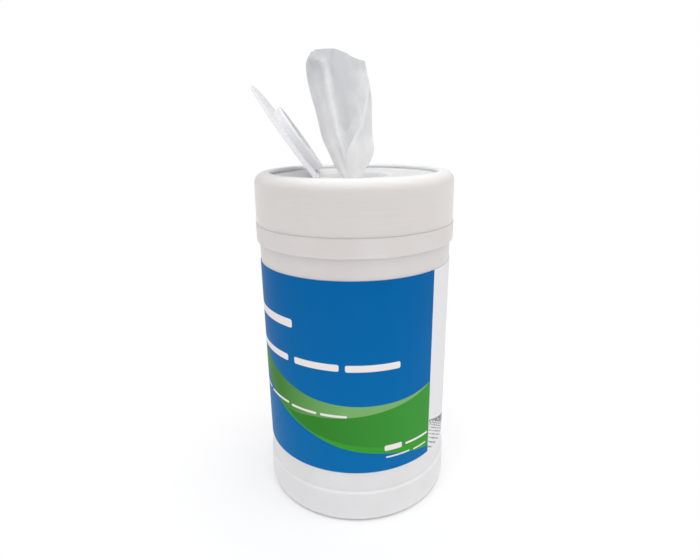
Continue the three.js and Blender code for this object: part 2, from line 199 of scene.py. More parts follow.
def rod(sides: int, radius: float, length: float, place: Triple, turn: Triple) -> Piece:
    """Model a prism or a round rod.

    Args:
        sides: How many sides it has.
        radius: Its radius in millimetres.
        length: Its length in millimetres.
        place: Its middle, in millimetres.
        turn: Its turn about x, y and z, in radians.

    Returns:
        The rod, with its place in its mesh.
    """
    deselect()
    bpy.ops.mesh.primitive_cylinder_add(
        vertices=sides, radius=radius * MM, depth=length * MM,
        location=[at * MM for at in place], rotation=turn)
    apply_place()
    return bpy.context.active_object


def turn_up(name: str, rings: Sequence[Ring], sides: int, closed: bool = True) -> Piece:
    """Model a turned piece as by hand: a circle, extruded and resized from ring to ring.

    Args:
        name: The piece's name.
        rings: The section's (radius, height) points in millimetres, all with a radius above 0.
        sides: How many sides each ring has.
        closed: Whether the first and last ring are filled; if not, they are the same ring, and join.

    Returns:
        The finished piece, with its place in its mesh and its faces outward.
    """
    deselect()
    radius, height = rings[0]
    bpy.ops.mesh.primitive_circle_add(
        vertices=sides,
        radius=radius * MM,
        fill_type="NGON" if closed else "NOTHING",
        location=(0, 0, height * MM),
        rotation=(0, 0, -math.pi / 2),
    )
    piece = bpy.context.active_object
    piece.name = name
    apply_place()
    bpy.ops.object.mode_set(mode="EDIT")
    bpy.ops.mesh.select_mode(type="FACE" if closed else "EDGE")
    bpy.ops.mesh.select_all(action="SELECT")
    for next_radius, next_height in rings[1:]:
        rise = (0, 0, (next_height - height) * MM)
        grow = next_radius / radius
        bpy.ops.mesh.extrude_region_move(TRANSFORM_OT_translate={"value": rise})
        bpy.ops.transform.resize(value=(grow, grow, 1), center_override=(0, 0, next_height * MM))
        radius, height = next_radius, next_height
    bpy.ops.mesh.select_mode(type="VERT")
    bpy.ops.mesh.select_all(action="SELECT")
    bpy.ops.mesh.remove_doubles(threshold=MERGE)
    bpy.ops.mesh.normals_make_consistent(inside=False)
    bpy.ops.object.mode_set(mode="OBJECT")
    return piece


def combine(piece: Piece, tool: Piece, operation: str) -> None:
    """Join a tool to a piece or cut the piece with it, and remove the tool.

    Args:
        piece: The piece that is kept.
        tool: The solid that is joined or cut away.
        operation: UNION or DIFFERENCE.
    """
    only(piece)
    modifier = piece.modifiers.new("combine", "BOOLEAN")
    modifier.operation = operation
    modifier.solver = "EXACT"
    modifier.object = tool
    bpy.ops.object.modifier_apply(modifier=modifier.name)
    bpy.data.objects.remove(tool, do_unlink=True)


def break_edges(piece: Piece, width: float, segments: int = 2, angle: float = 38) -> None:
    """Round a piece's sharp edges.

    Args:
        piece: The piece.
        width: The rounding's width in millimetres.
        segments: How many steps the rounding has.
        angle: The smallest fold that is rounded, in degrees.
    """
    only(piece)
    bevel = piece.modifiers.new("edges", "BEVEL")
    bevel.width = width * MM
    bevel.segments = segments
    bevel.limit_method = "ANGLE"
    bevel.angle_limit = math.radians(angle)
    bevel.use_clamp_overlap = True
    bpy.ops.object.modifier_apply(modifier=bevel.name)


def settle(piece: Piece, material: Material, body: Body, rigid: bool = True) -> None:
    """Shade, dress and place a finished piece.

    Args:
        piece: The piece.
        material: Its finish.
        body: The body that it rides on.
        rigid: Whether its flat faces are shaded flat right up to their rounded edges.
    """
    only(piece)
    apply_place()
    bpy.ops.object.shade_smooth_by_angle(angle=math.radians(SMOOTH_ANGLE))
    if rigid:
        flats = piece.modifiers.new("flats", "WEIGHTED_NORMAL")
        flats.keep_sharp = True
        flats.mode = "FACE_AREA"
        flats.weight = 100
        bpy.ops.object.modifier_apply(modifier=flats.name)
    piece.data.materials.clear()
    piece.data.materials.append(material)
    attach(piece, body.value)
    log.info("%s: %d faces, rides on %s", piece.name, len(piece.data.polygons), body.value)


# Materials


class Value:
    """A number in a node tree, whose sums and products add Math nodes."""

    def __init__(self, board: "Board", socket: Socket) -> None:
        """Keep the tree's board and the number's socket."""
        self.board = board
        self.socket = socket

    def __add__(self, other: object) -> "Value":
        """Return the sum."""
        return self.board.math("ADD", self, other)

    def __sub__(self, other: object) -> "Value":
        """Return the difference."""
        return self.board.math("SUBTRACT", self, other)

    def __rsub__(self, other: object) -> "Value":
        """Return a plain number less this one."""
        return self.board.math("SUBTRACT", other, self)

    def __mul__(self, other: object) -> "Value":
        """Return the product."""
        return self.board.math("MULTIPLY", self, other)

    def __truediv__(self, other: object) -> "Value":
        """Return the quotient."""
        return self.board.math("DIVIDE", self, other)

    def __abs__(self) -> "Value":
        """Return the number without its sign."""
        return self.board.math("ABSOLUTE", self)

    def most(self, other: object) -> "Value":
        """Return the larger of two numbers."""
        return self.board.math("MAXIMUM", self, other)


class Board:
    """A node tree with short ways to add nodes to it."""

    def __init__(self, tree: Tree) -> None:
        """Keep the tree."""
        self.tree = tree

    def node(self, kind: str, **values: object) -> Node:
        """Add a node and set its properties."""
        made = self.tree.nodes.new(kind)
        for key, value in values.items():
            setattr(made, key, value)
        return made

    def feed(self, socket: Socket, value: object) -> None:
        """Link a number or an output to a socket, or set the socket to a plain value."""
        if isinstance(value, Value):
            value = value.socket
        if isinstance(value, Socket):
            self.tree.links.new(value, socket)
        else:
            socket.default_value = value

    def fill(self, node: Node, **values: object) -> Node:
        """Feed a node's inputs by name, with _ for a space, and return the node."""
        for key, value in values.items():
            self.feed(node.inputs[key.replace("_", " ")], value)
        return node

    def out(self, node: Node, name: str) -> Value:
        """Return one of a node's outputs as a number."""
        return Value(self, node.outputs[name])

    def math(self, operation: str, *values: object) -> Value:
        """Add a Math node and return its value."""
        made = self.node("ShaderNodeMath", operation=operation)
        for socket, value in zip(made.inputs, values):
            self.feed(socket, value)
        return self.out(made, "Value")

    def mix(self, share: object, first: object, second: object) -> Socket:
        """Add a colour mix and return its colour."""
        made = self.node("ShaderNodeMix", data_type="RGBA")
        self.feed(made.inputs["Factor"], share)
        self.feed(made.inputs[6], first)
        self.feed(made.inputs[7], second)
        return made.outputs[2]

    def span(
        self, value: object, low: object, high: object, to_low: float = 0, to_high: float = 1
    ) -> Value:
        """Map a value from one range to another, held at its ends, and return it."""
        made = self.node("ShaderNodeMapRange", clamp=True)
        for socket, given in zip(made.inputs, (value, low, high, to_low, to_high)):
            self.feed(socket, given)
        return Value(self, made.outputs[0])

    def place(self) -> Socket:
        """Return the surface's place in the piece's own frame."""
        return self.node("ShaderNodeTexCoord").outputs["Object"]

    def part(self, vector: Socket, axis: Axis) -> Value:
        """Return one coordinate of a vector."""
        made = self.node("ShaderNodeSeparateXYZ")
        self.feed(made.inputs[0], vector)
        return Value(self, made.outputs[axis.value])

    def noise(self, vector: object, scale: object, detail: float = 3, stretch: Triple = (1, 1, 1)) -> Value:
        """Add noise, stretched along the axes, and return its value."""
        mapping = self.fill(self.node("ShaderNodeMapping"), Vector=vector, Scale=stretch)
        made = self.node("ShaderNodeTexNoise")
        self.fill(made, Vector=mapping.outputs[0], Scale=scale, Detail=detail)
        return Value(self, made.outputs[0])

    def wave(self, value: Value) -> Value:
        """Return a wave that is 0 at every whole value and 1 half-way between."""
        return abs(self.math("SINE", value * math.pi))

    def bump(self, height: object, depth: object, strength: object = 1.0, normal: object = None) -> Socket:
        """Add a bump of a depth in metres and return its normal."""
        made = self.fill(self.node("ShaderNodeBump"), Height=height, Distance=depth, Strength=strength)
        if normal is not None:
            self.fill(made, Normal=normal)
        return made.outputs[0]

    def chance(self, seed: Value) -> Value:
        """Return a random number from 0 to 1 that stays the same for a seed."""
        made = self.node("ShaderNodeTexWhiteNoise", noise_dimensions="1D")
        return self.out(self.fill(made, W=seed), "Value")

    def shared(self, group: Tree, **values: object) -> Node:
        """Place a shared group and set its inputs."""
        return self.fill(self.node("ShaderNodeGroup", node_tree=group), **values)


def group(name: str, inputs: dict[str, float], outputs: dict[str, str]) -> tuple[Board, Node, Node]:
    """Start a shader node group.

    Args:
        name: The group's name.
        inputs: Its number inputs and their first values.
        outputs: Its outputs and their socket types.

    Returns:
        The group's board, its input node and its output node.
    """
    tree = bpy.data.node_groups.new(name, "ShaderNodeTree")
    for label, value in inputs.items():
        socket = tree.interface.new_socket(label, in_out="INPUT", socket_type=FLOAT)
        socket.default_value = value
    for label, kind in outputs.items():
        tree.interface.new_socket(label, in_out="OUTPUT", socket_type=kind)
    board = Board(tree)
    return board, board.node("NodeGroupInput"), board.node("NodeGroupOutput")


@dataclass
class Effects:
    """The shared effects that more than one finish uses, each built once."""

    grain: Tree = field(init=False)
    lines: Tree = field(init=False)
    bar: Tree = field(init=False)
    handled: Tree = field(init=False)

    def __post_init__(self) -> None:
        """Build the groups."""
        self.grain = self._grain()
        self.lines = self._lines()
        self.bar = self._bar()
        self.handled = self._handled()

    def _grain(self) -> Tree:
        """Return moulded grain: fine orange peel and patchy gloss."""
        numbers = {"Scale": 900.0, "Depth": 0.02 * MM, "Gloss": 0.4, "Gloss spread": 0.08}
        board, given, made = group("Moulded grain", numbers, {"Roughness": FLOAT, "Normal": VECTOR})
        scale, depth, gloss, spread = (board.out(given, name) for name in numbers)
        place = board.place()
        fine = board.noise(place, scale, 2)
        broad = board.noise(place, 26, 3)
        rough = (broad * 0.6 + fine * 0.4 - 0.5) * spread + gloss
        board.fill(made, Roughness=rough, Normal=board.bump(fine, depth, 0.6))
        return board.tree

    def _lines(self) -> Tree:
        """Return fine level lines round a wall, as a turned mould leaves them."""
        board, given, made = group("Turned lines", {"Spacing": 0.0011}, {"Height": FLOAT})
        place = board.place()
        scale = board.math("DIVIDE", 1.0, board.out(given, "Spacing"))
        lines = board.noise(place, scale, 3, (0.02, 0.02, 1))
        patches = board.span(board.noise(place, 35, 2), 0.35, 0.65, 0.4, 1)
        board.fill(made, Height=(lines - 0.5) * patches)
        return board.tree

    def _bar(self) -> Tree:
        """Return the mask of a plain printed bar with rounded ends, in millimetres on the label."""
        numbers = {
            "Along": 0.0, "Up": 0.0, "Centre": 0.0, "Level": 0.0, "Half length": 5.0, "Half height": 2.0}
        board, given, made = group("Rounded bar", numbers, {"Mask": FLOAT})
        along, up, centre, level, half_length, half_height = (board.out(given, name) for name in numbers)
        radius = half_height * 0.55
        beyond = (abs(along - centre) - (half_length - radius)).most(0)
        over = (abs(up - level) - (half_height - radius)).most(0)
        distance = board.math("SQRT", beyond * beyond + over * over) - radius
        board.fill(made, Mask=board.span(distance, -0.06, 0.06, 1, 0))
        return board.tree

    def _handled(self) -> Tree:
        """Return the soft mask of dust and handling, strongest low down and in patches."""
        board, given, made = group("Handled", {"Amount": 0.1}, {"Mask": FLOAT})
        place = board.place()
        patches = board.span(board.noise(place, 18, 4), 0.42, 0.72)
        low = board.span(board.part(place, Axis.Z), 0.0, 0.03, 0.8, 0)
        board.fill(made, Mask=patches.most(low) * board.out(given, "Amount"))
        return board.tree


def dress(name: str) -> tuple[Material, Board, Node]:
    """Start a material.

    Args:
        name: The material's name.

    Returns:
        The material, its board, and its Principled shader.
    """
    material = bpy.data.materials.new(name)
    material.use_nodes = True
    board = Board(material.node_tree)
    shader = next(node for node in material.node_tree.nodes if node.type == "BSDF_PRINCIPLED")
    return material, board, shader


@dataclass(frozen=True)
class MouldedPlastic:
    """White plastic of a wall that lets a little light in, with its mould's marks.

    Lengths are in metres. The aged colour marks wear, dust and tone, and it also grows with height, up to the
    height tall, as painted shade that leaves the wall darker upwards and lighter low down. Within a given
    radius of the axis the colour is painted lighter, as painted light in the recess, most on the wall there
    and on the well's wall and floor at the well's given radius.
    """

    name: str
    colour: Colour
    aged_and_shaded: Colour
    gloss: float
    grain_depth: float
    line_spacing: float
    line_depth: float
    streaks: float
    light_in: float
    seam: bool = False
    # Painted shade: the height up to which the aged colour grows, darker upwards.
    tall: float = 0.0
    # Painted light in the cap's recess: the radius it lies within, the well's radius, and its floor and wall
    # colours.
    painted_light_radius: float = 0.0
    painted_well_radius: float = 0.0
    # Painted light: the colour of the recess's floor.
    pale_floor: Colour = srgb(228, 227, 227)
    painted_wall_light: Colour = srgb(252, 252, 252)

    def _painted_recess_light(self, board: Board, colour: Socket) -> Socket:
        """Return the colour with painted light inside the recess: lighter on the recess's wall and on the
        well's wall and floor.
        """
        east, north = (board.part(board.place(), axis) for axis in (Axis.X, Axis.Y))
        radius = board.math("SQRT", east * east + north * north)
        inside = board.span(radius, self.painted_light_radius, self.painted_light_radius + 5.5 * MM, 1, 0)
        by_wall = board.span(radius, self.painted_light_radius - 3.6 * MM, self.painted_light_radius - 2.7 * MM)
        in_well = board.span(abs(radius - self.painted_well_radius), 0.3 * MM, 1.2 * MM, 1, 0)
        well_floor = board.span(radius, self.painted_well_radius, self.painted_well_radius + MM, 0.6, 0)
        # Painted light: the recess's wall and the well's wall and floor get the lighter colour.
        lit = by_wall.most(in_well.most(well_floor))
        return board.mix(inside, colour, board.mix(lit, self.pale_floor, self.painted_wall_light))

    def build(self, effects: Effects) -> Material:
        """Build the material.

        Args:
            effects: The shared groups.

        Returns:
            The finished material.
        """
        material, board, shader = dress(self.name)
        handled = board.out(board.shared(effects.handled, Amount=0.2), "Mask")
        cloud = board.span(board.noise(board.place(), 40, 4), 0.35, 0.7, 0, 0.25)
        lines = board.out(board.shared(effects.lines, Spacing=self.line_spacing), "Height")
        share = handled.most(lines * self.streaks + cloud)
        # Painted shade: the aged colour grows with height, so the wall is darker upwards and lighter low
        # down.
        if self.tall:
            painted_height_shade = board.span(board.part(board.place(), Axis.Z), 0.02, self.tall, 0, 0.75)
            share = board.span(share + painted_height_shade, 0, 1)
        colour = board.mix(share, self.colour, self.aged_and_shaded)
        # Painted light in the recess, where a radius is given.
        if self.painted_light_radius:
            colour = self._painted_recess_light(board, colour)
        grain = board.shared(effects.grain, Depth=self.grain_depth, Gloss=self.gloss)
        normal = board.bump(lines, self.line_depth, 0.7, grain.outputs["Normal"])
        if self.seam:
            ridge = board.span(abs(board.part(board.place(), Axis.Y)), 0.0, 0.35 * MM, 1, 0)
            normal = board.bump(ridge, 0.12 * MM, 0.8, normal)
        board.fill(
            shader, Base_Color=colour, Roughness=grain.outputs["Roughness"], Normal=normal,
            Subsurface_Weight=self.light_in, Subsurface_Radius=(1.0, 0.95, 0.9),
            Subsurface_Scale=4 * MM, IOR=1.5)
        return material


@dataclass(frozen=True)
class Bar:
    """A plain printed bar: the angles it runs between, its level and its height in millimetres."""

    start: float
    end: float
    level: float
    tall: float


@dataclass(frozen=True)
class PrintedFilm:
    """The label's film: a blue front panel with a sweep of greens, and a plain white side.

    Angles are in degrees, 0 to the front and 90 to the right, and lengths in millimetres. Upper, fold,
    edge and lower give a field's border by angle, as a share of the label's height. The first drawn line
    is at drawn_top where the angle is drawn_from, and falls by drawn_fall a degree. The notes' blocks are
    a first angle and a length each.
    """

    name: str = "printed_film"
    radius: float = 52.4
    foot: float = 31.0
    height: float = 106.5
    panel_start: float = -106.5
    panel_end: float = 45.4
    seam: float = -112.0
    white: Colour = srgb(231, 230, 232)
    blue: Colour = srgb(0, 98, 164)
    blue_low: Colour = srgb(6, 108, 173)
    lime: Colour = srgb(62, 156, 52)
    leaf: Colour = srgb(62, 128, 46)
    green: Colour = srgb(52, 131, 44)
    green_light: Colour = srgb(64, 149, 58)
    pale: Colour = srgb(124, 176, 108)
    ink: Colour = srgb(238, 232, 230)
    line: Colour = srgb(72, 72, 80)
    shade: Colour = srgb(0, 60, 70)
    upper: tuple[Point, ...] = (
        (-106.5, 0.73), (-70, 0.526), (-46.5, 0.441), (-28, 0.397), (-4, 0.376), (25, 0.385), (46, 0.418))
    fold: tuple[Point, ...] = (
        (-106.5, 0.72), (-70, 0.45), (-50.5, 0.299), (-30, 0.298), (-8, 0.315), (12, 0.34), (31, 0.374),
        (46, 0.418))
    edge: tuple[Point, ...] = (
        (-106.5, 0.7), (-70, 0.43), (-50.5, 0.3), (-35, 0.222), (-14, 0.173), (8, 0.143), (46, 0.089))
    lower: tuple[Point, ...] = (
        (-106.5, 0.667), (-71, 0.396), (-55, 0.295), (-41, 0.236), (-14, 0.146), (15, 0.096), (46, 0.039))
    bars: tuple[Bar, ...] = (
        Bar(-92, -45.5, 92.5, 3.7), Bar(-40.5, -13, 92.5, 3.7), Bar(-9.5, 21.5, 92.3, 3.7),
        Bar(-90, -41, 112.3, 4.6), Bar(-88, -69, 66, 1.35), Bar(-66.5, -47, 65.5, 1.35),
        Bar(-44.5, -27, 65, 1.35), Bar(-24.5, -9, 65, 1.35), Bar(12.5, 23.5, 44.8, 3.3),
        Bar(26, 44, 44.6, 1.3), Bar(13.5, 29, 39.2, 0.9), Bar(32, 42.5, 38.8, 0.9))
    curve_steps: int = 16
    drawn_from: float = 48.0
    drawn_top: float = 50.2
    drawn_fall: float = 0.58
    note_foot: float = 46.0
    note_pitch: float = 3.1
    note_blocks: tuple[Point, ...] = ((106, 62), (-168, 50))

    def _curve(self, board: Board, angle: Value, points: Sequence[Point]) -> Value:
        """Return a curve's share of the label's height at an angle."""
        along = board.span(angle, self.panel_start, self.panel_end)
        made = board.node("ShaderNodeFloatCurve")
        curve = made.mapping.curves[0]
        reach = self.panel_end - self.panel_start
        for i in range(self.curve_steps + 1):
            at = i / self.curve_steps
            level = smooth(points, self.panel_start + at * reach)
            if i in (0, self.curve_steps):
                curve.points[0 if i == 0 else -1].location = (at, level)
            else:
                curve.points.new(at, level)
        made.mapping.update()
        return board.out(board.fill(made, Value=along), "Value")

    def _print(self, board: Board, effects: Effects, angle: Value, level: Value) -> Value:
        """Return the mask of all the plain printed bars."""
        along = angle * math.radians(self.radius)
        total: object = 0.0
        for bar in self.bars:
            centre = math.radians((bar.start + bar.end) / 2) * self.radius
            half = math.radians((bar.end - bar.start) / 2) * self.radius
            made = board.shared(
                effects.bar, Along=along, Up=level, Centre=centre, Level=bar.level,
                Half_length=half, Half_height=bar.tall / 2)
            total = board.out(made, "Mask").most(total)
        return total

    def _hatching(self, board: Board, angle: Value, level: Value) -> Value:
        """Return the mask of the fine drawn lines low on the side panel."""
        past = angle - self.drawn_from
        sunk = past * -self.drawn_fall + (self.drawn_top - level)
        spread = sunk.most(0) * (1 / 10.8) + 1
        rows = board.wave(board.math("LOGARITHM", spread, math.e) * 8.3)
        broken = board.span(board.noise(board.place(), 420, 2), 0.36, 0.5, 0.25, 1)
        strokes = board.span(rows, 0.3, 0.62, 1, 0) * broken
        crossing = board.span(board.wave(past * 0.36 + level * 0.25), 0.3, 0.6, 1, 0)
        strokes = strokes.most(crossing * board.span(sunk, 2.5, 4.5, 0.7, 0))
        head = angle * -0.33 + 66 - level
        rim = board.span(abs(head), 0.22, 0.42, 1, 0)
        far = sunk * -1.45 + 82
        inside = board.span(head, -0.1, 0.1) * board.span(angle - far, -1, 1, 1, 0)
        lines = (inside * strokes).most(rim)
        return lines * board.span(angle, self.panel_end + 0.3, self.panel_end + 0.7)

    def _notes(self, board: Board, angle: Value, level: Value) -> Value:
        """Return the mask of the rows of short grey bars on the back."""
        row = (level - self.note_foot) / self.note_pitch
        index = board.math("FLOOR", row)
        mask = board.span(abs(board.math("FRACT", row) - 0.5), 0.11, 0.15, 1, 0)
        mask = mask * board.math("GREATER_THAN", board.math("MODULO", index, 8), 0.5)
        mask = mask * board.math("COMPARE", row, 12.5, 12.4)
        cell = board.math("FLOOR", index * 7.31 + angle / 2.3)
        end = board.chance(index) * 0.4 + 0.6
        mask = mask * board.math("GREATER_THAN", board.chance(cell), 0.13)
        total: object = 0.0
        for start, length in self.note_blocks:
            along = (angle - start) / length
            block = board.math("GREATER_THAN", along, 0) * board.math("LESS_THAN", along, end)
            total = block.most(total)
        return mask * total

    def build(self, effects: Effects) -> Material:
        """Build the material.

        Args:
            effects: The shared groups.

        Returns:
            The finished material.
        """
        material, board, shader = dress(self.name)
        place = board.place()
        turn = board.math("ARCTAN2", board.part(place, Axis.X), board.part(place, Axis.Y) * -1.0)
        angle = turn * (180 / math.pi)
        level = board.part(place, Axis.Z) * (1 / MM)

        def above(points: Sequence[Point]) -> Value:
            """Return the mask of what lies above a curve."""
            height = self._curve(board, angle, points) * self.height + self.foot
            return board.span(level - height, -0.05, 0.05)

        depth = board.span(level, self.foot, self.foot + self.height)
        sheen = board.span(board.noise(place, 30, 3), 0.3, 0.7, -0.1, 0.1)
        blue = board.mix(1.0 - (depth + sheen), self.blue, self.blue_low)
        pale = board.mix(board.span(angle, -56, -8), self.leaf, self.pale)
        lime = board.mix(board.span(angle, -66, -40), self.leaf, self.lime)
        dark = board.mix(board.span(angle, -30, 30), self.green, self.green_light)
        ground = board.mix(above(self.lower), blue, lime)
        ground = board.mix(above(self.edge), ground, dark)
        ground = board.mix(above(self.fold), ground, pale)
        ground = board.mix(above(self.upper), ground, blue)
        ground = board.mix(self._print(board, effects, angle, level), ground, self.ink)
        front = board.span(angle, self.panel_start, self.panel_start + 0.1)
        front = front * board.span(angle, self.panel_end, self.panel_end + 0.12, 1, 0)
        side: object = self.white
        for draw, strength in ((self._hatching, 0.8), (self._notes, 0.6)):
            side = board.mix(draw(board, angle, level) * strength, side, self.line)
        seam = board.span(abs(angle - self.seam), 0.12, 0.3, 1, 0)
        side = board.mix(seam * 0.45, side, self.line)
        dots = board.span(board.noise(place, 2600, 1), 0.3, 0.7, 0, 0.03)
        colour = board.mix(dots, board.mix(front, side, ground), self.shade)
        handled = board.shared(effects.handled, Amount=0.02)
        colour = board.mix(handled.outputs["Mask"], colour, self.line)
        grain = board.shared(effects.grain, Scale=420, Depth=0.03 * MM, Gloss=0.42, Gloss_spread=0.12)
        lap = board.span(angle, self.seam - 0.1, self.seam + 0.1)
        waves = lap * 0.2 + board.noise(place, 22, 2, (1, 1, 0.35))
        board.fill(
            shader, Base_Color=colour, Roughness=grain.outputs["Roughness"],
            Normal=board.bump(waves, 0.6 * MM, 0.25, grain.outputs["Normal"]),
            IOR=1.45, Specular_IOR_Level=0.05)
        return material


@dataclass(frozen=True)
class Nonwoven:
    """Damp nonwoven: tangled fibres and cloudy thickness.

    The fibres' depth is in metres. The attribute, if there is one, carries painted light and shade across the
    folds.
    """

    name: str
    colour: Colour
    # Colour of thin cloudy patches, and of painted shade where the attribute is given.
    thin_and_shaded: Colour
    fibre: float
    depth: float
    light_through: float
    attribute: str = ""

    def build(self, effects: Effects) -> Material:
        """Build the material.

        Args:
            effects: The shared groups.

        Returns:
            The finished material.
        """
        material, board, shader = dress(self.name)
        cloth = board.node("ShaderNodeUVMap", uv_map="cloth").outputs[0]
        long_fibres = board.noise(cloth, self.fibre, 4, (9, 1, 1))
        cross_fibres = board.noise(cloth, self.fibre * 0.8, 4, (1.6, 7, 1))
        fibres = long_fibres.most(cross_fibres)
        cloudy = board.noise(cloth, self.fibre * 0.09, 4)
        thin_and_shaded = board.span(cloudy * 1.2 + fibres, 0.9, 1.5, 1, 0) * 0.35
        # Painted light and shade: the mesh attribute lightens lit folds and ridges and darkens shaded
        # valleys.
        if self.attribute:
            painted_fold_light = board.out(board.node("ShaderNodeAttribute", attribute_name=self.attribute), "Fac")
            thin_and_shaded = board.span(painted_fold_light * -0.9 + (thin_and_shaded + 0.9), 0.0, 1.0)
        grain = board.shared(effects.grain, Scale=1500, Depth=0.04 * MM, Gloss=0.82, Gloss_spread=0.2)
        normal = board.bump(fibres, self.depth, 0.4, grain.outputs["Normal"])
        board.fill(
            shader, Base_Color=board.mix(thin_and_shaded, self.colour, self.thin_and_shaded),
            Roughness=grain.outputs["Roughness"], Normal=board.bump(cloudy, self.depth * 4, 0.35, normal),
            Subsurface_Weight=self.light_through, Subsurface_Radius=(1.0, 1.0, 0.95),
            Subsurface_Scale=3 * MM, Sheen_Weight=0.1, Sheen_Roughness=0.5, Specular_IOR_Level=0.25)
        return material


# Sub-assemblies


@dataclass
class Bottle:
    """The blow-moulded bottle: foot ring, base band, recessed panel, shoulder band and open neck.

    Lengths are in millimetres, here and in the pieces below; the small ones in rings are soft edges.
    """

    panel: float = 52.2
    band: float = 53.4
    wall: float = 1.3
    floor: float = 3.1
    push_up: float = 1.5
    corner: float = 3.0
    foot_width: float = 6.3
    base_band_top: float = 17.9
    panel_bottom: float = 19.1
    panel_top: float = 147.7
    band_bottom: float = 148.7
    shoulder_band: float = 53.7
    foot_of_label: float = 30.5
    shoulder: float = 157.9
    neck: float = 50.0
    neck_inner: float = 48.2
    neck_top: float = 175.9
    bead: float = 0.8
    bead_level: float = 164.3
    sides: int = ROUND_SIDES

    def rings(self) -> list[Ring]:
        """Return the section from the middle of the base, up the outside and down the inside."""
        outer_foot = self.band - self.corner
        inner_foot = outer_foot - self.foot_width
        step = self.band - self.panel

        def sweep(foot: float, head: float, start: float, grow: float) -> list[Ring]:
            """Return the soft step between two radii."""
            eased = [(i / 10, ramp(i / 10, 0, 1)) for i in range(1, 10)]
            return [(start + grow * ease, foot + (head - foot) * share) for share, ease in eased]

        return [
            (6, self.push_up + 0.5),
            (7, self.push_up),
            (26, self.push_up),
            (27, self.push_up + 0.4),
            (28, self.push_up),
            (inner_foot - self.push_up, self.push_up),
            (inner_foot - 0.6, 0.5),
            (inner_foot, 0.05),
            (inner_foot + 0.5, 0),
            *arc((outer_foot, self.corner), self.corner, -90, 0, 8),
            (self.band, self.base_band_top - 0.4),
            (self.band, self.base_band_top),
            *sweep(self.base_band_top, self.panel_bottom, self.band, -step),
            (self.panel, self.panel_bottom),
            (self.panel - 0.12, self.panel_bottom + 3),
            (self.panel - 0.12, self.panel_bottom + 8),
            (self.panel, self.foot_of_label),
            (self.panel, self.panel_top - 0.6),
            (self.panel, self.panel_top),
            *sweep(self.panel_top, self.band_bottom, self.panel, self.shoulder_band - self.panel - 0.1),
            (self.shoulder_band - 0.1, self.band_bottom + 0.1),
            (self.shoulder_band, self.band_bottom + 0.9),
            (self.shoulder_band, self.band_bottom + 2),
            *arc((self.shoulder_band - 0.12, self.shoulder - 0.12), 0.12, 0, 90, 4),
            (self.neck + 0.4, self.shoulder),
            (self.neck, self.shoulder + 0.4),
            (self.neck, self.bead_level - 1.0),
            (self.neck + self.bead * 0.7, self.bead_level - 0.45),
            (self.neck + self.bead, self.bead_level),
            (self.neck + self.bead * 0.7, self.bead_level + 0.6),
            (self.neck, self.bead_level + 1.6),
            (self.neck, self.neck_top - 0.4),
            (self.neck - 0.4, self.neck_top),
            (self.neck_inner + 0.4, self.neck_top),
            (self.neck_inner, self.neck_top - 0.4),
            (self.neck_inner, self.shoulder - self.wall),
            (self.panel - self.wall, self.shoulder - 3 * self.wall),
            (self.panel - self.wall, self.panel_bottom + 1),
            (self.band - self.wall, self.base_band_top - 1),
            *arc((self.band - self.wall - self.corner, self.floor + self.corner), self.corner, 0, -90, 5),
            (20, self.floor),
            (6, self.floor),
        ]

    def build(self, finish: Material) -> Piece:
        """Model and dress the bottle.

        Args:
            finish: Its plastic.

        Returns:
            The bottle.
        """
        piece = turn_up("bottle_shell", self.rings(), self.sides)
        settle(piece, finish, Body.BOTTLE)
        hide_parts("bottle")
        return piece


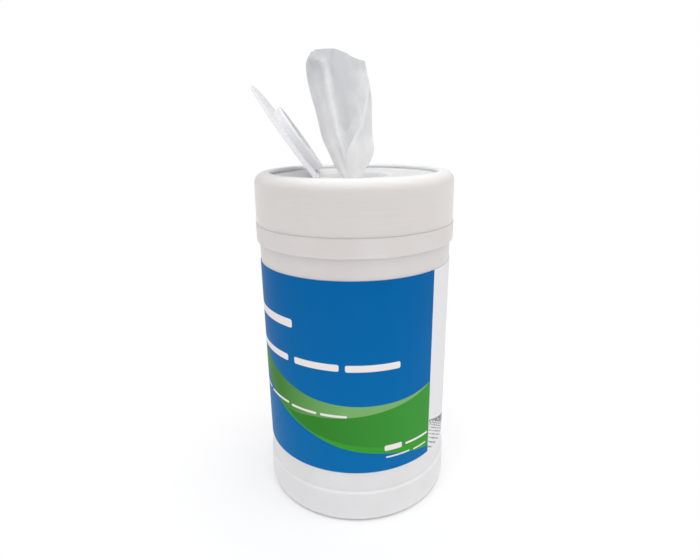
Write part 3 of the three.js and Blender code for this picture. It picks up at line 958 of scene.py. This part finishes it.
@dataclass
class Cap:
    """The push-on cap: drafted skirt, rounded crest, recess, well, orifice and hinge groove."""

    bottom: float = 157.93
    top: float = 184.0
    radius: float = 53.4
    draft: float = 0.3
    wall: float = 1.5
    corner: float = 5.5
    crest: float = 2.0
    crest_round: float = 0.8
    recess: float = 44.9
    recess_floor: float = 181.5
    well: float = 19.3
    well_floor: float = 176.8
    snap_inner: float = 51.15
    snap_level: float = 161.6
    points: int = 6
    orifice_inner: float = 5.6
    orifice_outer: float = 8.6
    hinge: Point = HINGE
    groove: float = 1.3
    groove_half: float = 29.1
    groove_sides: int = 48
    sides: int = ROUND_SIDES

    def rings(self) -> list[Ring]:
        """Return the section from under the well, up the inside, over the crest and into the well."""
        crest_outer = self.radius - self.draft - self.corner
        crest_inner = crest_outer - self.crest
        inner = self.radius - self.wall
        under = self.recess_floor - self.wall
        level = self.top - self.corner
        rise = inner - self.snap_inner
        return [
            (3, self.well_floor - self.wall),
            (12, self.well_floor - self.wall),
            (self.well + self.wall - 0.5, self.well_floor - self.wall),
            (self.well + self.wall, self.well_floor - self.wall + 0.5),
            (self.well + self.wall, under),
            (self.recess - 1.5, under),
            (crest_inner, self.top - self.wall),
            *arc((crest_outer, level), self.corner - self.wall, 90, 0, 8),
            (inner - self.draft / 2, self.snap_level + 3 * rise),
            (self.snap_inner + 0.15, self.snap_level + 0.6),
            (self.snap_inner, self.snap_level),
            (self.snap_inner + 0.3, self.snap_level - 0.5),
            (inner, self.snap_level - rise),
            (inner, self.bottom + 0.3),
            (inner + 0.3, self.bottom),
            (self.radius - 0.12, self.bottom),
            (self.radius, self.bottom + 0.12),
            (self.radius - 0.02, self.bottom + 1.1),
            *arc((crest_outer, level), self.corner, 0, 90, 14),
            (crest_inner + 0.3, self.top),
            *arc((crest_inner, self.top - self.crest_round), self.crest_round, 90, 180, 4),
            (self.recess, self.recess_floor + 0.5),
            (self.recess - 0.15, self.recess_floor + 0.15),
            (self.recess - 0.5, self.recess_floor),
            (self.well + 0.35, self.recess_floor),
            (self.well + 0.1, self.recess_floor - 0.1),
            (self.well, self.recess_floor - 0.35),
            (self.well, self.well_floor + 0.6),
            (self.well - 0.18, self.well_floor + 0.18),
            (self.well - 0.6, self.well_floor),
            (12, self.well_floor),
            (3, self.well_floor),
        ]

    def _star(self) -> Piece:
        """Return the star-shaped prism that cuts the orifice."""
        middle = (0, 0, self.well_floor)
        star = rod(2 * self.points, self.orifice_inner, 4 * self.wall, middle, (0, 0, -math.pi / 2))
        bpy.ops.object.mode_set(mode="EDIT")
        bpy.ops.mesh.select_mode(type="VERT")
        bpy.ops.mesh.select_all(action="DESELECT")
        mesh = bmesh.from_edit_mesh(star.data)
        pitch = 360 / self.points
        for vertex in mesh.verts:
            turn = math.degrees(math.atan2(vertex.co.y, vertex.co.x)) % pitch
            vertex.select_set(min(turn, pitch - turn) < pitch / 4)
        mesh.select_flush(True)
        bmesh.update_edit_mesh(star.data)
        grow = self.orifice_outer / self.orifice_inner
        bpy.ops.transform.resize(value=(grow, grow, 1), center_override=(0, 0, 0))
        bpy.ops.object.mode_set(mode="OBJECT")
        return star

    def _groove(self) -> Piece:
        """Return the bar that cuts the hinge's groove."""
        middle = (self.hinge[0], 0, self.hinge[1])
        return rod(self.groove_sides, self.groove, 2 * self.groove_half, middle, (math.pi / 2, 0, 0))

    def build(self, finish: Material) -> Piece:
        """Model and dress the cap.

        Args:
            finish: Its plastic.

        Returns:
            The cap.
        """
        piece = turn_up("push_on_cap", self.rings(), self.sides)
        combine(piece, self._star(), "DIFFERENCE")
        combine(piece, self._groove(), "DIFFERENCE")
        break_edges(piece, 0.18, 2, 50)
        settle(piece, finish, Body.CAP)
        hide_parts("cap")
        return piece


@dataclass
class Flap:
    """The flap: a round plate cut by the hinge chord, its plug ring and its hinge bead, open."""

    radius: float = 34.6
    thickness: float = 1.5
    rim: float = 0.7
    rim_width: float = 4.0
    hinge: Point = HINGE
    underside: float = -0.45
    opening: float = 124.7
    plug: float = 18.6
    plug_wall: float = 1.3
    plug_depth: float = 4.3
    bead: float = 1.0
    bead_half: float = 27.6
    bead_sides: int = 40
    sides: int = ROUND_SIDES

    def _plate(self) -> Piece:
        """Return the plate, shut, with the hinge's axis at the origin."""
        offset = -self.hinge[0]
        top = self.underside + self.thickness
        plate = turn_up("hinged_flap", [
            (self.radius - self.rim_width - 4, self.underside),
            (self.radius - self.rim_width, self.underside),
            (self.radius - self.rim_width * 0.45, self.underside + 0.25),
            (self.radius - 0.15, top - self.rim - 0.1),
            (self.radius, top - self.rim + 0.1),
            (self.radius, top - 0.2),
            (self.radius - 0.2, top),
            (self.radius - 4, top),
        ], self.sides)
        plate.location.x = offset * MM
        only(plate)
        apply_place()
        bpy.ops.object.mode_set(mode="EDIT")
        bpy.ops.mesh.select_all(action="SELECT")
        bpy.ops.mesh.bisect(plane_co=(0, 0, 0), plane_no=(1, 0, 0), clear_inner=True, use_fill=True)
        bpy.ops.mesh.select_all(action="SELECT")
        bpy.ops.mesh.normals_make_consistent(inside=False)
        bpy.ops.object.mode_set(mode="OBJECT")
        return plate

    def _ring(self) -> Piece:
        """Return the plug ring under the plate."""
        bottom = self.underside - self.plug_depth
        top = self.underside + self.thickness / 2
        inner = self.plug - self.plug_wall
        ring = turn_up("plug_ring", [
            (inner, bottom + 0.3),
            (inner + 0.3, bottom),
            (self.plug - 0.6, bottom),
            (self.plug - 0.25, bottom + 0.35),
            (self.plug, bottom + 1.0),
            (self.plug, bottom + 1.5),
            (self.plug - 0.12, bottom + 2.0),
            (self.plug - 0.12, top),
            (inner, top),
            (inner, bottom + 0.3),
        ], self.sides, closed=False)
        ring.location.x = -self.hinge[0] * MM
        return ring

    def _bead(self) -> Piece:
        """Return the rounded bead of the hinge."""
        return rod(self.bead_sides, self.bead, 2 * self.bead_half, (0, 0, 0), (math.pi / 2, 0, 0))

    def build(self, finish: Material) -> Piece:
        """Model the flap shut, swing it open and dress it.

        Args:
            finish: Its plastic.

        Returns:
            The flap.
        """
        piece = self._plate()
        combine(piece, self._ring(), "UNION")
        combine(piece, self._bead(), "UNION")
        break_edges(piece, 0.3, 3, 50)
        piece.rotation_euler = (0, -math.radians(self.opening), 0)
        piece.location = (self.hinge[0] * MM, 0, self.hinge[1] * MM)
        settle(piece, finish, Body.FLAP)
        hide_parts("flap")
        return piece


@dataclass
class Label:
    """The wrapped label: one thin film round the panel, with its ends meeting behind."""

    inner: float = 52.24
    outer: float = 52.55
    foot: float = 31.0
    head: float = 137.5
    sides: int = ROUND_SIDES
    nodes: tuple[str, ...] = (
        "label", "label_blue_upper", "label_blue_lower", "label_green_start", "label_green_pale",
        "label_green_dark", "label_green_lime")

    def build(self, finish: Material) -> Piece:
        """Model and dress the label.

        Args:
            finish: Its printed film.

        Returns:
            The label.
        """
        rings = [
            (self.inner, self.foot),
            (self.outer - 0.06, self.foot),
            (self.outer, self.foot + 0.06),
            (self.outer, self.foot + 1),
            (self.outer, (self.foot + self.head) / 2),
            (self.outer, self.head - 1),
            (self.outer, self.head - 0.06),
            (self.outer - 0.06, self.head),
            (self.inner, self.head),
            (self.inner, self.foot),
        ]
        piece = turn_up("wrapped_label", rings, self.sides, closed=False)
        settle(piece, finish, Body.BOTTLE)
        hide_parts(*self.nodes)
        return piece


@dataclass
class WoundRoll:
    """The roll of wipes: a soft wound cylinder with its turns showing on its top end."""

    radius: float = 47.2
    hole: float = 10.0
    bottom: float = 3.4
    top: float = 168.4
    turns: int = 32
    ridge: float = 0.55
    sides: int = 128

    def build(self, finish: Material) -> Piece:
        """Model and dress the roll.

        Args:
            finish: Its nonwoven.

        Returns:
            The roll.
        """
        pitch = (self.radius - self.hole) / self.turns
        rings = [(self.hole, self.bottom), (self.radius - 0.4, self.bottom), (self.radius, self.bottom + 0.4)]
        rings += [(self.radius, self.bottom + 40), (self.radius, self.top - 40)]
        for i in range(self.turns):
            outer = self.radius - i * pitch
            sink = self.ridge * (0.6 + 0.4 * math.sin(2.3 * i) * math.sin(0.7 * i + 1))
            rings += [(outer - 0.04 * pitch, self.top - sink), (outer - 0.3 * pitch, self.top - 0.1)]
            rings += [(outer - 0.7 * pitch, self.top - 0.08)]
        rings += [(self.hole, self.top - self.ridge), (self.hole, self.bottom)]
        piece = turn_up("wound_roll", rings, self.sides, closed=False)
        mesh = piece.data
        layer = mesh.uv_layers.get("UVMap") or mesh.uv_layers.new(name="UVMap")
        layer.name = "cloth"
        for loop in mesh.loops:
            place = mesh.vertices[loop.vertex_index].co
            reach = math.hypot(place.x, place.y)
            turn = math.atan2(place.y, place.x) / math.tau
            layer.data[loop.index].uv = (turn * 1.2, place.z + reach)
        settle(piece, finish, Body.BOTTLE, rigid=False)
        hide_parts("wipe_roll")
        return piece


@dataclass
class PulledWipe:
    """The pulled wipe: one sheet, gathered in the orifice and spread in folds above the cap.

    Lengths are in millimetres and angles in degrees, with 270 to the front. Layer, lapped and lip are
    shares of the sheet's radius. Left, right and deep give the sheet's reach by height, and edge the
    angle of its free edge. The numbers in the methods place the photo's folds.
    """

    width: float = 165.0
    length: float = 203.0
    bottom: float = 39.6
    cap_top: float = 184.0
    rise: float = 60.0
    thickness: float = 0.32
    turns: float = 3.0
    layer: float = 0.085
    ridge: float = 251.0
    valley_depth: float = 0.5
    columns: int = 280
    rows: int = 170
    left_drop: float = 2.6
    right_drop: float = 5.6
    lapped: float = 0.07
    lip: float = 0.02
    crease_level: float = 240.5
    crease_turn: float = 185.0
    crease_fall: float = 0.055
    left: tuple[Point, ...] = (
        (41, -4.1), (153.4, -7.8), (168.4, -7.0), (175.3, -4.6), (176.8, -4.6), (180.8, -7.0), (187.1, -10.6),
        (194.4, -14.1), (201.1, -17.1), (208.6, -18.9), (214.5, -20.3), (221.3, -22.1), (228.5, -23.3),
        (232.7, -23.7), (237, -23.7), (240, -22.6), (244, -20.5))
    right: tuple[Point, ...] = (
        (41, 8.75), (153.4, 8.75), (168.4, 7.25), (175.3, 4.6), (176.8, 4.6), (182.7, 5.4), (186.8, 7.9),
        (190.9, 9.8), (194.5, 10.7), (201.7, 9.9), (210.2, 9.5), (218.1, 9.3), (223.9, 8.9), (231, 7.6),
        (237.4, 6.1), (244, 4.6))
    deep: tuple[Point, ...] = (
        (41, 7.9), (153.4, 8.5), (168.4, 7.25), (175.3, 4.6), (176.8, 4.6), (180.2, 5.0), (186.5, 6.2),
        (195, 7.4), (204.5, 8.4), (216, 9.0), (229, 8.6), (244, 6.5))
    edge: tuple[Point, ...] = (
        (41, -104), (176.8, -104), (192.6, -103), (199.5, -81), (208.3, -54), (215, -43), (221, -33),
        (226, -20), (231, -5), (244, 8))

    def _where(self, across: float, level: float) -> tuple[float, float, float]:
        """Return a place's share of the rise, its turns from the free edge, and its angle."""
        share = min(max((level - self.cap_top) / self.rise, 0.0), 1.0)
        beyond = (1 - across) * self.turns
        return share, beyond, smooth(self.edge, level) + beyond * 360

    def _valley(self, angle: float, beyond: float) -> float:
        """Return how far into the valley a place is, from 0 to 1, by its angle and turns from the edge."""
        past = (angle - self.ridge) % 360
        return ramp(past, 0, 26) * ramp(past, 100, 40) * ramp(beyond, 0.985, 0.86)

    def _crease(self, turn: float) -> float:
        """Return the height of the crease across the front, just under the top edge."""
        return self.crease_level - (turn - self.crease_turn) * self.crease_fall

    def painted_fold_light(self, across: float, level: float) -> float:
        """Return the painted light and shade at a place, from 0 for shaded valleys and thin single layers to
        1 for lit folds.

        Args:
            across: From 0 at the wound-in edge to 1 at the free edge in front.
            level: The height at mid-width.

        Returns:
            The painted brightness of the cloth there, as a share.
        """
        share, beyond, angle = self._where(across, level)
        turn = angle % 360
        past = (angle - self.ridge) % 360
        from_edge = beyond * 360
        window = ramp(turn, 178, 196) * ramp(turn, 272, 256)
        crease = self._crease(turn)
        upper = ramp(level, self.cap_top + 2, self.cap_top + 20)
        # Painted light and shade: lit ridge, crease, streak and free edge; shaded hollows and valley; darker
        # higher up.
        light_share = 1.0 - 0.5 * ramp(level, self.cap_top + 4, self.cap_top + 54)
        light_share += 0.22 * upper * bell(turn, self.ridge - 9, 12) * ramp(level, 240, 234)
        light_share += 0.25 * window * bell(level, crease, 2.2)
        light_share -= 0.4 * window * bell(level, crease - 7.5, 5) * ramp(turn, 250, 236)
        if angle > self.ridge:
            light_share -= 0.42 * upper * ramp(past, -1, 6) * ramp(past, 84, 46)
            light_share -= 0.25 * upper * bell(past, 25, 9)
            light_share += 0.2 * bell(turn, 297 + 14 * (1 - share), 6) * ramp(level, 226, 214)
        light_share += 0.5 * bell(from_edge, 0, 7) * ramp(level, 234, 226)
        light_share -= 0.6 * ramp(level, 233, 241)
        light_share -= 0.25 * ramp(level, 192, 204) * ramp(from_edge, 90, 60)
        return min(max(light_share, 0.0), 1.0)

    def _folds(self, turn: float, level: float, share: float) -> float:
        """Return how far the cloth stands out at a turn and level, in millimetres.

        Args:
            turn: The angle round the sheet, from 0 to 360 degrees.
            level: The height.
            share: How far up the spread part this is, from 0 to 1.

        Returns:
            The distance, outwards.
        """
        gathered = ramp(level, self.cap_top + 30, self.cap_top - 2)
        spread = ramp(level, self.cap_top - 8, self.cap_top + 4)
        window = ramp(turn, 184, 208) * ramp(turn, 266, 250)
        crease = self._crease(turn)
        pinches = 0.42 * gathered * spread * math.sin(math.radians(turn * 7 + 70 * share))
        wrinkles = 0.16 * spread * math.sin(math.radians(turn * 13 + 90 + 140 * share))
        across_top = 0.8 * window * (bell(level, crease, 1.9) - bell(level, crease - 5.5, 3.8))
        hollow = 0.9 * spread * bell(turn, 224, 18) * swell(share, 0.7)
        ridge = 1.5 * bell(turn, self.ridge - 2, 7) * swell(share * 1.12, 0.7)
        streak = 0.55 * bell(turn, 291 + 22 * (1 - share), 5) * swell(share * 1.4)
        waves = 0.35 * share * math.sin(math.radians(turn * 3 + 25 * math.sin(level * 0.21)))
        return pinches + wrinkles + across_top - hollow + ridge + streak + waves

    def place(self, across: float, level: float) -> Vector:
        """Return a point of the sheet, in millimetres.

        Args:
            across: From 0 at the wound-in edge to 1 at the free edge in front.
            level: The height at mid-width.

        Returns:
            The point.
        """
        share, beyond, angle = self._where(across, level)
        sideways = math.cos(math.radians(angle))
        left_drop = self.left_drop * max(0.0, (-sideways - 0.86) / 0.14) ** 2.0
        right_drop = self.right_drop * max(0.0, (sideways + 0.15) / 1.15) ** 1.35
        height = level - share**3 * (left_drop + right_drop)
        left, right, deep = (smooth(side, height) for side in (self.left, self.right, self.deep))
        valley = self._valley(angle, beyond) if angle > self.ridge else 0.0
        valley *= self.valley_depth * ramp(share, 0.0, 0.4) * (1 - 0.55 * ramp(share, 0.7, 1.0))
        radial = (1 - self.layer * beyond) * (1 - valley)
        radial += self.lapped * ramp(share, 0, 0.3) * bell(beyond, 1, 0.11)
        radial += self._folds(angle % 360, level, share) * (1 - valley) / deep
        lip = self.lip * math.exp(-beyond * 360 / 9) * swell(share)
        return Vector((
            (left + right) / 2 + (right - left) / 2 * min(radial, 1.03) * sideways,
            deep * (radial + lip) * math.sin(math.radians(angle)),
            height,
        ))

    def build(self, finish: Material) -> Piece:
        """Model the sheet, give it its thickness and dress it.

        Args:
            finish: Its nonwoven.

        Returns:
            The wipe.
        """
        deselect()
        bpy.ops.mesh.primitive_grid_add(x_subdivisions=self.columns, y_subdivisions=self.rows, size=2)
        piece = bpy.context.active_object
        piece.name = "pulled_sheet"
        mesh = piece.data
        # Each point stores its painted light and shade.
        fold_light_values = mesh.attributes.new("painted_fold_light", "FLOAT", "POINT")
        layer = mesh.uv_layers[0] if mesh.uv_layers else mesh.uv_layers.new(name="cloth")
        layer.name = "cloth"
        for loop in mesh.loops:
            flat = mesh.vertices[loop.vertex_index].co
            layer.data[loop.index].uv = (
                (flat.x + 1) / 2 * self.width * MM, (flat.y + 1) / 2 * self.length * MM)
        for vertex in mesh.vertices:
            across = (vertex.co.x + 1) / 2
            level = self.bottom + (vertex.co.y + 1) / 2 * self.length
            vertex.co = self.place(across, level) * MM
            fold_light_values.data[vertex.index].value = self.painted_fold_light(across, level)
        mesh.update()
        only(piece)
        skin = piece.modifiers.new("thickness", "SOLIDIFY")
        skin.thickness = self.thickness * MM
        skin.offset = 0
        bpy.ops.object.modifier_apply(modifier=skin.name)
        settle(piece, finish, Body.CAP, rigid=False)
        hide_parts("pulled_wipe")
        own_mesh(piece)
        return piece


@dataclass(frozen=True)
class Lamp:
    """A square soft lamp: its name, its place and side in metres, and its watts."""

    name: str
    place: Triple
    size: float
    power: float


@dataclass
class Studio:
    """The floor, the light and the camera, in metres and degrees."""

    eye: Triple = (-0.01634, -0.2672, 0.2063)
    heading: float = 2.868
    tilt: float = 17.517
    roll: float = -0.8395
    lens: float = 25.06
    middle: Triple = (0, 0, 0.12)
    floor_colour: Colour = srgb(250, 250, 251)
    floor_shade: Colour = srgb(247, 247, 248)
    floor_size: float = 12.0
    floor_level: float = -0.0002
    fade: Point = (0.05, 0.125)
    even_light: float = 0.6
    lamps: tuple[Lamp, ...] = (
        Lamp("key", (-0.5, -0.9, 1.5), 1.4, 3.5), Lamp("fill", (1.2, -0.7, 1.0), 1.4, 2.5),
        Lamp("top", (0.1, -0.1, 1.5), 2.2, 17.0))

    def floor(self) -> Piece:
        """Make the plain pale floor, which fades to white away from the object."""
        deselect()
        bpy.ops.mesh.primitive_plane_add(size=self.floor_size, location=(0, 0, self.floor_level))
        piece = bpy.context.active_object
        piece.name = "floor"
        apply_place()
        material, board, shader = dress("pale_floor")
        place = board.place()
        colour = board.mix(board.noise(place, 40, 3), self.floor_colour, self.floor_shade)
        board.fill(shader, Base_Color=colour, Roughness=0.7)
        length = board.fill(board.node("ShaderNodeVectorMath", operation="LENGTH"), Vector=place)
        fade = board.span(length.outputs["Value"], *self.fade)
        rays = board.node("ShaderNodeLightPath")
        seen = board.out(rays, "Is Camera Ray").most(board.out(rays, "Is Glossy Ray"))
        seen = seen.most(board.out(rays, "Is Transmission Ray"))
        white = board.node("ShaderNodeEmission")
        mixer = board.node("ShaderNodeMixShader")
        for socket, value in zip(mixer.inputs, (fade * seen, shader.outputs[0], white.outputs[0])):
            board.feed(socket, value)
        output = next(node for node in material.node_tree.nodes if node.type == "OUTPUT_MATERIAL")
        board.feed(output.inputs["Surface"], mixer.outputs[0])
        piece.data.materials.append(material)
        return piece

    def world(self) -> None:
        """Light the scene evenly, and show white behind it."""
        world = bpy.data.worlds.new("studio")
        bpy.context.scene.world = world
        world.use_nodes = True
        board = Board(world.node_tree)
        background = next(node for node in world.node_tree.nodes if node.type == "BACKGROUND")
        rays = board.node("ShaderNodeLightPath")
        seen = board.out(rays, "Is Camera Ray").most(board.out(rays, "Is Transmission Ray"))
        board.fill(background, Color=(1, 1, 1, 1), Strength=board.span(seen, 0, 1, self.even_light, 1))

    def hang(self, lamp: Lamp) -> None:
        """Hang a lamp that faces the canister's middle."""
        light = bpy.data.lights.new(lamp.name, "AREA")
        light.size = lamp.size
        light.energy = lamp.power
        piece = bpy.data.objects.new(lamp.name, light)
        bpy.context.scene.collection.objects.link(piece)
        piece.location = lamp.place
        towards = Vector(self.middle) - Vector(lamp.place)
        piece.rotation_euler = towards.to_track_quat("-Z", "Y").to_euler()

    def camera(self) -> None:
        """Place the camera at the photograph's view."""
        turn, down, lean = (math.radians(angle) for angle in (self.heading, self.tilt, self.roll))
        forward = Vector((math.sin(turn) * math.cos(down), math.cos(turn) * math.cos(down), -math.sin(down)))
        level = Vector((math.cos(turn), -math.sin(turn), 0))
        upright = level.cross(forward)
        right = math.cos(lean) * level + math.sin(lean) * upright
        up = -math.sin(lean) * level + math.cos(lean) * upright
        data = bpy.data.cameras.new("camera")
        data.sensor_fit = "HORIZONTAL"
        data.sensor_width = 36
        data.lens = self.lens
        data.clip_start = 0.01
        camera = bpy.data.objects.new("camera", data)
        bpy.context.scene.collection.objects.link(camera)
        frame = Matrix((right, up, -forward)).transposed().to_4x4()
        frame.translation = Vector(self.eye)
        camera.matrix_world = frame
        bpy.context.scene.camera = camera

    def build(self) -> None:
        """Make the whole studio."""
        self.floor()
        self.world()
        for lamp in self.lamps:
            self.hang(lamp)
        self.camera()
        bpy.context.scene.view_settings.view_transform = "Standard"


def main() -> None:
    """Load the frame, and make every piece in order."""
    logging.basicConfig(level=logging.INFO, format="%(message)s")
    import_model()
    effects = Effects()
    # The bottle's aged colour also serves as painted shade that grows with height, up to tall.
    bottle_plastic = MouldedPlastic(
        "bottle_plastic", colour=srgb(234, 233, 234), aged_and_shaded=srgb(216, 210, 207), gloss=0.4,
        grain_depth=0.03 * MM, line_spacing=2.3 * MM, line_depth=0.01 * MM, streaks=0.05, light_in=0.35,
        seam=True, tall=0.15)
    # The cap's recess and well get painted light.
    cap_plastic = MouldedPlastic(
        "cap_plastic", colour=srgb(225, 219, 216), aged_and_shaded=srgb(212, 206, 202), gloss=0.32,
        grain_depth=0.02 * MM, line_spacing=0.7 * MM, line_depth=0.06 * MM, streaks=1.1, light_in=0.6,
        painted_light_radius=47.5 * MM, painted_well_radius=19.5 * MM)
    flap_plastic = MouldedPlastic(
        "flap_plastic", colour=srgb(224, 224, 227), aged_and_shaded=srgb(217, 217, 220), gloss=0.45,
        grain_depth=0.004 * MM, line_spacing=4 * MM, line_depth=0.002 * MM, streaks=0.1, light_in=0.3)
    # The wipe's two colours are its lit white and its painted shade, mixed by the painted light attribute.
    wipe_cloth = Nonwoven(
        "wipe_cloth", colour=srgb(252, 252, 252), thin_and_shaded=srgb(208, 209, 211), fibre=900, depth=0.05 * MM,
        light_through=0.1, attribute="painted_fold_light")
    roll_cloth = Nonwoven(
        "roll_cloth", colour=srgb(230, 231, 233), thin_and_shaded=srgb(205, 207, 209), fibre=700, depth=0.2 * MM,
        light_through=0.2)
    Studio().build()
    Bottle().build(bottle_plastic.build(effects))
    Label().build(PrintedFilm().build(effects))
    Cap().build(cap_plastic.build(effects))
    Flap().build(flap_plastic.build(effects))
    WoundRoll().build(roll_cloth.build(effects))
    PulledWipe().build(wipe_cloth.build(effects))


if __name__ == "__main__":
    main()
